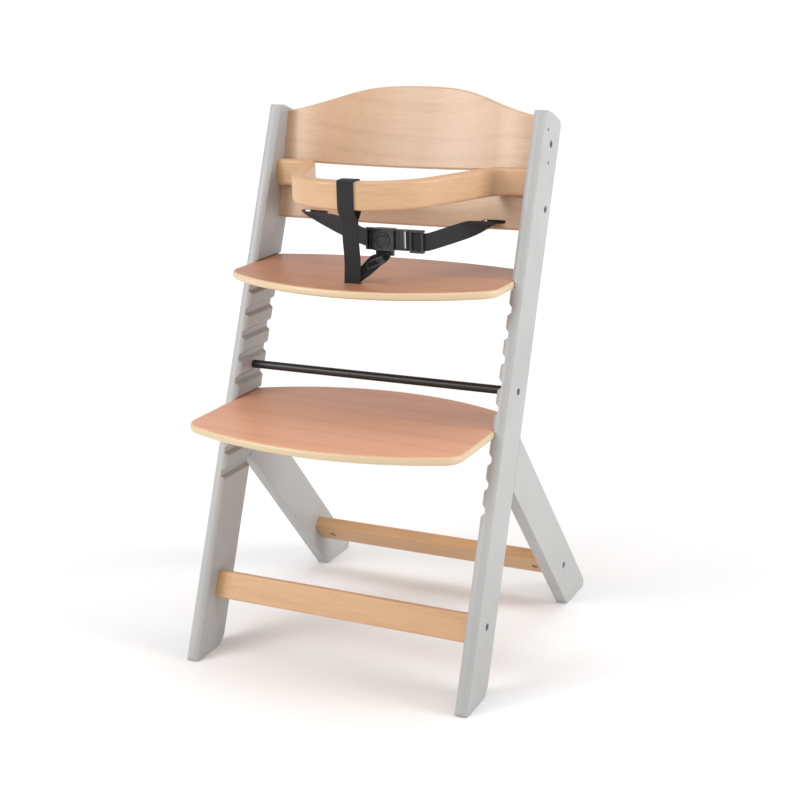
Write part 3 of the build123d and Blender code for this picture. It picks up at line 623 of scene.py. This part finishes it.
webbing = {"width": 24 * mm, "thickness": 1.7 * mm}
stopLow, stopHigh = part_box("crotch_strap_stop")
loopLow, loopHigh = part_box("crotch_strap")
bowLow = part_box("safety_bow")[0]
housingLow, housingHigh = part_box("buckle_housing")
tongueLow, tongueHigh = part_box("buckle_tongue")
slideLow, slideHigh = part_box("waist_adjuster")
slotMiddle = (stopLow + stopHigh) / 2
acrossX = (1, 0, 0)


loopShift = 4 * mm                       # the loop hangs a little to the side of the slot
loopJoin = bowLow.z - 15 * mm            # both layers are sewn together below this height
loopJoinY = (loopLow.y + loopHigh.y) / 2


def makeLoopStrap():
    half = webbing["thickness"] / 2 + 0.1 * mm
    front, back, top = loopLow.y + half, loopHigh.y - half, loopHigh.z - half
    below = bowLow.z - 1.5 * mm
    centre = (bowLow.z + top) / 2
    tail = slotMiddle.y - 1.1 * mm
    low, high = slotMiddle.x, slotMiddle.x + loopShift
    stations = [
        (high, loopJoinY + 0.9 * mm, loopJoin - 20 * mm),
        (high, loopJoinY + 0.9 * mm, loopJoin - 4 * mm),
        (high, loopJoinY + 1.2 * mm, loopJoin),
        (high + mm, back - 1.5 * mm, below - 3 * mm),
        (high + mm, back, below + 6 * mm),
        (high + mm, back, centre),
        (high, back, top - 5 * mm),
        (high, back, top - 1.5 * mm),
        (high, back - 2 * mm, top),
        (high, loopJoinY, top),
        (high, front + 2 * mm, top),
        (high, front, top - 1.5 * mm),
        (high, front, top - 5 * mm),
        (high, front, centre),
        (high, front, below + 6 * mm),
        (high + 0.5 * mm, front + 1.5 * mm, below - 3 * mm),
        (high + 1.5 * mm, loopJoinY - 1.2 * mm, loopJoin),
        (high + 1.5 * mm, loopJoinY - 0.9 * mm, loopJoin - 4 * mm),
        (high + mm, loopJoinY - 0.9 * mm, loopJoin - 20 * mm),
        (low + 2 * mm, tail - 1.0 * mm, seatHigh.z + 30 * mm),
        (low, tail, seatHigh.z + 5 * mm),
        (low, tail, seatLow.z - 0.4 * mm),
        (low, tail, stopLow.z + 2.5 * mm),
    ]
    route = [(place, acrossX) for place in stations]
    strap = layWebbing("crotch_loop_webbing", route, webbing["width"], webbing["thickness"], 2)
    finishPiece(strap, finishes["webbing"], None, ["crotch_strap"])
    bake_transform(strap)
    return strap


def makeShortStrap():
    x, y = slotMiddle.x, slotMiddle.y + 1.1 * mm
    stations = [
        ((x, y, stopLow.z + 2.5 * mm), acrossX),
        ((x, y, seatLow.z - 0.4 * mm), acrossX),
        ((x, y, seatHigh.z), acrossX),
        ((x + 5 * mm, y + 3 * mm, seatHigh.z + 5 * mm), (1, -0.2, 0)),
        (shortStrapEnd - shortStrapRun * 26 * mm, (1, -0.25, -0.9)),
        (shortStrapEnd - shortStrapRun * 14 * mm, (1, 0, -0.9)),
        (shortStrapEnd - Vector((0, 0, 5)) * mm, (1, 0, -0.2)),
        (shortStrapEnd, acrossX),
        (shortStrapEnd + Vector((0, 3.5, 1)) * mm, acrossX),
    ]
    strap = layWebbing("buckle_hanger_webbing", stations, 19 * mm, webbing["thickness"])
    finishPiece(strap, finishes["webbing"], None, ["buckle_strap"])
    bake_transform(strap)
    return strap


def makeLeftWaistStrap():
    low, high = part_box("left_waist_strap")
    slot = Vector((low.x + webbing["width"] / 2, high.y - 1 * mm, waistSlot["height"]))
    mouth = slot + Vector((0, -waistSlot["run"], waistSlot["rise"]))
    y, z = (housingLow.y + housingHigh.y) / 2, (tongueLow.z + tongueHigh.z) / 2
    bar = Vector((housingLow.x + 1.5 * mm, y, z))
    stations = [
        (slot, acrossX),
        (mouth, acrossX),
        (mouth + Vector((2, -12, 1)) * mm, acrossX),
        (mouth.lerp(bar, 0.30), (0.75, 0.15, 0.55)),
        (mouth.lerp(bar, 0.60), (0.30, 0.05, 1)),
        (bar + Vector((-14, 12, 0)) * mm, (0, 0, 1)),
        (bar + Vector((-2, 4.4, 0)) * mm, (0, 0, 1)),
        (bar + Vector((3, 3.6, 0)) * mm, (0, 0, 1)),
        (bar + Vector((5.4, 0, 0)) * mm, (0, 0, 1)),
        (bar + Vector((5.4, -2.5, 0)) * mm, (0, 0, 1)),
        (bar + Vector((8, 1, 0)) * mm, (0, 0, 1)),
    ]
    strap = layWebbing("left_waist_webbing", stations, webbing["width"], webbing["thickness"])
    return finishPiece(strap, finishes["webbing"], "frame", ["left_waist_strap"])


def makeRightWaistStrap():
    low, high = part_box("right_waist_strap")
    slot = Vector((high.x - webbing["width"] / 2, high.y - 1 * mm, waistSlot["height"]))
    mouth = slot + Vector((0, -waistSlot["run"], waistSlot["rise"]))
    y = low.y + webbing["thickness"] / 2
    z = (tongueLow.z + tongueHigh.z) / 2
    bar = tongueHigh.x - 1.5 * mm
    leave = Vector((slideHigh.x + 6 * mm, y + 0.6 * mm, z))
    stations = [
        ((bar - 1.0 * mm, y + 6.2 * mm, z), (0, 0, 1)),
        ((bar - 2.8 * mm, y + 4.6 * mm, z), (0, 0, 1)),
        ((bar - 2.8 * mm, y + 1.2 * mm, z), (0, 0, 1)),
        ((bar - 1.0 * mm, y, z), (0, 0, 1)),
        ((bar + 4 * mm, y, z), (0, 0, 1)),
        ((slideLow.x, y, z), (0, 0, 1)),
        ((slideHigh.x, y, z), (0, 0, 1)),
        (leave, (0, 0, 1)),
        (leave.lerp(mouth, 0.35), (-0.15, 0.1, 1)),
        (leave.lerp(mouth, 0.62), (-0.55, 0.25, 0.8)),
        (mouth + Vector((-2, -14, 1)) * mm, (-1, 0, 0.1)),
        (mouth, (-1, 0, 0)),
        (slot, (-1, 0, 0)),
    ]
    strap = layWebbing("right_waist_webbing", stations, webbing["width"], webbing["thickness"])
    finishPiece(strap, finishes["webbing"], None, ["right_waist_strap"])
    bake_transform(strap)
    return strap


# ---- moulded buckle pieces

buckle = {
    "sideFrame": 12 * mm,
    "underFrame": 7 * mm,
    "frameBar": 3 * mm,
    "frameDepth": 5 * mm,
    "window": 20 * mm,
    "edge": 0.45 * mm,
    "dishRadius": 11.4 * mm,
    "dishDepth": 1.0 * mm,
    "rim": 1.0 * mm,
    "buttonRadius": 7.0 * mm,
    "buttonGap": 0.35 * mm,
}


def startBlock(name, low, high):
    clearSelection()
    low, high = Vector(low), Vector(high)
    bpy.ops.mesh.primitive_cube_add(size=1, location=(low + high) / 2, scale=high - low)
    block = bpy.context.object
    block.name = name
    block.data.name = name
    bpy.ops.object.transform_apply(location=True, rotation=True, scale=True)
    return block


def startRound(name, middle, radius, depth, facets=64):       # its axis runs along Y
    clearSelection()
    bpy.ops.mesh.primitive_cylinder_add(
        vertices=facets, radius=radius, depth=depth, location=middle, rotation=(math.pi / 2, 0, 0)
    )
    disc = bpy.context.object
    disc.name = name
    disc.data.name = name
    bpy.ops.object.transform_apply(location=True, rotation=True, scale=True)
    return disc


def combine(piece, tool, operation):
    applyModifier(piece, "BOOLEAN", object=tool, operation=operation, solver="EXACT")
    mesh = tool.data
    bpy.data.objects.remove(tool)
    bpy.data.meshes.remove(mesh)
    return piece


def carve(piece, low, high):
    return combine(piece, startBlock("cutter", low, high), "DIFFERENCE")


def weld(piece, low, high):
    return combine(piece, startBlock("addition", low, high), "UNION")


def easeEdges(piece, width, segments=3):
    applyModifier(piece, "WELD", merge_threshold=0.00001)
    applyModifier(
        piece, "BEVEL", width=width, segments=segments, limit_method="ANGLE", angle_limit=math.radians(32),
        use_clamp_overlap=True,
    )
    bpy.ops.object.shade_smooth_by_angle(angle=math.radians(35))
    return piece


def makeHousing():
    middle = (housingLow.y + housingHigh.y) / 2
    left, right = housingLow.x + buckle["sideFrame"], housingHigh.x
    low, high = housingLow.z + buckle["underFrame"], housingHigh.z
    bar, half = buckle["frameBar"], buckle["frameDepth"] / 2
    centre = Vector(((left + right) / 2, housingLow.y, (low + high) / 2))
    body = startBlock("buckle_body", (left, housingLow.y, low), (right, housingHigh.y, high))
    clearSelection()
    body.select_set(True)
    bpy.context.view_layer.objects.active = body
    bpy.ops.object.mode_set(mode="EDIT")
    cage = bmesh.from_edit_mesh(body.data)
    for edge in cage.edges:                      # the four corners seen from the front
        a, b = edge.verts
        edge.select_set(abs(a.co.y - b.co.y) > half)
    bpy.ops.mesh.bevel(offset=3 * mm, segments=5, affect="EDGES")
    bpy.ops.object.mode_set(mode="OBJECT")
    weld(body, (housingLow.x, middle - half, low), (left + bar, middle + half, high))
    carve(body, (housingLow.x + bar, middle - 2 * half, low + bar), (left, middle + 2 * half, high - bar))
    window = buckle["window"] / 2
    weld(
        body,
        (centre.x - window - bar, middle - half, housingLow.z),
        (centre.x + window + bar, middle + half, low + bar),
    )
    carve(
        body,
        (centre.x - window, middle - 2 * half, housingLow.z + bar),
        (centre.x + window, middle + 2 * half, low),
    )
    dish = startRound("dish", centre, buckle["dishRadius"], 2 * buckle["dishDepth"])
    combine(body, dish, "DIFFERENCE")
    rimMiddle = centre + Vector((0, buckle["dishDepth"] / 2, 0))
    rim = startRound("rim", rimMiddle, buckle["buttonRadius"] + 3 * mm, 2 * mm)
    combine(body, rim, "UNION")
    well = startRound("well", centre, buckle["buttonRadius"] + buckle["buttonGap"], 12 * mm)
    combine(body, well, "DIFFERENCE")
    carve(
        body,
        (right - 16.6 * mm, middle - 0.6 * mm, low + 1.8 * mm),
        (right + 1 * mm, middle + 4.6 * mm, high - 1.8 * mm),
    )
    easeEdges(body, buckle["edge"])
    return finishPiece(body, finishes["plastic"], "frame", ["buckle_housing"])


def makeButton():
    low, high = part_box("buckle_button")
    centre = Vector(((low.x + high.x) / 2, low.y, (low.z + high.z) / 2))
    depth = high.y - low.y
    radius = buckle["buttonRadius"]
    button = startRound("push_button", centre + Vector((0, depth / 2, 0)), radius, depth)
    clearSelection()
    button.select_set(True)
    bpy.context.view_layer.objects.active = button
    bpy.ops.object.mode_set(mode="EDIT")
    cage = bmesh.from_edit_mesh(button.data)
    for face in cage.faces:                      # only the face that a thumb presses
        face.select_set(face.normal.y < -0.9)
    for inset, sink in ((1.4, 0.0), (0.7, 0.7), (1.6, 0.25), (1.4, 0.1)):
        bpy.ops.mesh.inset(thickness=inset * mm)
        bpy.ops.transform.translate(value=(0, sink * mm, 0))
    bpy.ops.object.mode_set(mode="OBJECT")
    flange = startRound("flange", centre + Vector((0, depth - 0.75 * mm, 0)), radius + 1.4 * mm, 1.5 * mm)
    combine(button, flange, "UNION")
    easeEdges(button, 0.3 * mm)
    return finishPiece(button, finishes["plastic"], "button", ["buckle_button"])


def makeTongue():
    right = housingHigh.x
    middle = (housingLow.y + housingHigh.y) / 2
    half = buckle["frameDepth"] / 2
    low, high = tongueLow.z, tongueHigh.z
    zMiddle = (low + high) / 2
    start = (right + 0.4 * mm, tongueLow.y, low)
    body = startBlock("buckle_tongue_body", start, (tongueHigh.x, tongueHigh.y, high))
    carve(
        body,
        (tongueHigh.x - 10 * mm, tongueLow.y - half, zMiddle - 12.4 * mm),
        (tongueHigh.x - 3 * mm, tongueHigh.y + half, zMiddle + 12.4 * mm),
    )
    for step in range(3):                        # grip grooves beside the slot
        x = right + (2.6 + 2.4 * step) * mm
        carve(body, (x, tongueLow.y - half, low - half), (x + 0.9 * mm, tongueLow.y + 0.5 * mm, high + half))
    for side in (-1, 1):                         # two prongs that snap into the body
        outer = zMiddle + side * 12.4 * mm
        inner = zMiddle + side * 7.6 * mm
        weld(
            body,
            (tongueLow.x, middle, min(outer, inner)),
            (right + 2 * mm, middle + 4 * mm, max(outer, inner)),
        )
    weld(
        body,
        (right - 3.6 * mm, middle, zMiddle - 8 * mm),
        (right + 2 * mm, middle + 4 * mm, zMiddle + 8 * mm),
    )
    easeEdges(body, 0.4 * mm)
    return finishPiece(body, finishes["plastic"], "tongue", ["buckle_tongue"])


def makeWaistSlide():
    low, high = slideLow, slideHigh
    y = (low.y + high.y) / 2
    skin = 1.3 * mm
    middle = (low.x + high.x) / 2
    zMiddle = (low.z + high.z) / 2
    room = 12.5 * mm
    slide = startBlock("waist_slide", low, high)
    carve(slide, (low.x - mm, y - skin, zMiddle - room), (high.x + mm, y + skin, zMiddle + room))
    carve(slide, (low.x + 3 * mm, low.y - mm, zMiddle - room), (high.x - 3 * mm, y, zMiddle + room))
    carve(slide, (low.x - mm, y, zMiddle - room), (middle - 1.5 * mm, high.y + mm, zMiddle + room))
    carve(slide, (middle + 1.5 * mm, y, zMiddle - room), (high.x + mm, high.y + mm, zMiddle + room))
    easeEdges(slide, 0.6 * mm)
    return finishPiece(slide, finishes["plastic"], "waist_slide", ["waist_adjuster"])


def makeCrotchSlide():
    low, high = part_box("crotch_adjuster")
    centre = (low + high) / 2
    size = Vector((29, 8, 11)) * mm
    slide = startBlock("crotch_slide", -size / 2, size / 2)
    carve(slide, Vector((-10.4, -1.4, -9)) * mm, Vector((10.4, 1.4, 9)) * mm)
    carve(slide, Vector((-10.4, -9, -3)) * mm, Vector((10.4, 0, 3)) * mm)
    easeEdges(slide, 1.1 * mm, 4)
    slide.rotation_mode = "QUATERNION"
    slide.rotation_quaternion = Vector((1, 0, 0)).rotation_difference(Vector((0.90, 0.05, 0.40)))
    slide.location = centre + Vector((5, 0, 3)) * mm
    return finishPiece(slide, finishes["plastic"], "crotch_slide", ["crotch_adjuster"])


def makeButtonSpring():
    low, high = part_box("button_spring")
    centre = (low + high) / 2
    wire = 0.35 * mm
    turns = 3.5
    reach = (high.x - low.x) / 2 - wire
    pitch = (high.y - low.y - 2 * wire) / turns
    clearSelection()
    upright = (math.pi / 2, 0, 0)
    bpy.ops.mesh.primitive_circle_add(vertices=10, radius=wire, rotation=upright, location=(reach, 0, 0))
    coil = bpy.context.object
    coil.name = "button_coil_spring"
    bpy.ops.object.transform_apply(location=True, rotation=True, scale=True)
    applyModifier(
        coil, "SCREW", axis="Z", angle=2 * math.pi * turns, screw_offset=pitch * turns,
        steps=110, render_steps=110, use_merge_vertices=False,
    )
    bpy.ops.object.mode_set(mode="EDIT")
    bpy.ops.mesh.select_all(action="SELECT")
    bpy.ops.mesh.select_non_manifold()
    bpy.ops.mesh.fill_holes(sides=0)
    bpy.ops.mesh.select_all(action="SELECT")
    bpy.ops.mesh.normals_make_consistent(inside=False)
    bpy.ops.object.mode_set(mode="OBJECT")
    bpy.ops.object.shade_smooth_by_angle(angle=math.radians(60))
    coil.rotation_euler = (-math.pi / 2, 0, 0)
    coil.location = (centre.x, low.y + wire, centre.z)
    finishPiece(coil, finishes["spring"], None, ["button_spring"])
    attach(coil, "frame")
    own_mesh(coil)
    return coil


# ---- sewn rows

stitch = {"length": 2.2 * mm, "pitch": 2.8 * mm, "radius": 0.22 * mm}


def stitchRow(name, start, along, count, body):
    direction = Vector(along).normalized()
    clearSelection()
    bpy.ops.mesh.primitive_uv_sphere_add(segments=8, ring_count=6, radius=stitch["radius"])
    row = bpy.context.object
    row.name = name
    row.data.name = name
    bpy.ops.object.mode_set(mode="EDIT")
    bpy.ops.transform.resize(value=(stitch["length"] / stitch["radius"] / 2, 1, 1))
    bpy.ops.object.mode_set(mode="OBJECT")
    row.rotation_mode = "QUATERNION"
    row.rotation_quaternion = Vector((1, 0, 0)).rotation_difference(direction)
    bpy.ops.object.transform_apply(location=True, rotation=True, scale=True)
    applyModifier(
        row, "ARRAY", count=count, use_relative_offset=False, use_constant_offset=True,
        constant_offset_displace=direction * stitch["pitch"],
    )
    row.location = start
    bpy.ops.object.shade_smooth_by_angle(angle=math.radians(60))
    return finishPiece(row, finishes["thread"], body, ())


waistSlot = {"height": 0.6012, "run": 0.0225, "rise": 0.0058}
shortStrapEnd = Vector((
    (housingLow.x + buckle["sideFrame"] + housingHigh.x) / 2,
    housingLow.y + 2.6 * mm,
    housingLow.z + 4 * mm,
))
shortStrapRun = (shortStrapEnd - Vector((slotMiddle.x, slotMiddle.y + 1.1 * mm, seatHigh.z))).normalized()
makeLoopStrap()
makeShortStrap()
makeLeftWaistStrap()
makeRightWaistStrap()
print("webbing laid")
makeHousing()
makeButton()
makeTongue()
makeWaistSlide()
makeCrotchSlide()
makeButtonSpring()
print("buckle moulded")
for height in (3 * mm, 9 * mm):
    start = Vector((slotMiddle.x + loopShift - 9.8 * mm, loopJoinY - 1.75 * mm, loopJoin - 6 * mm - height))
    stitchRow("loop_stitches_%d" % round(height / mm), start, (1, 0, 0), 8, "frame")
print("stitches sewn")
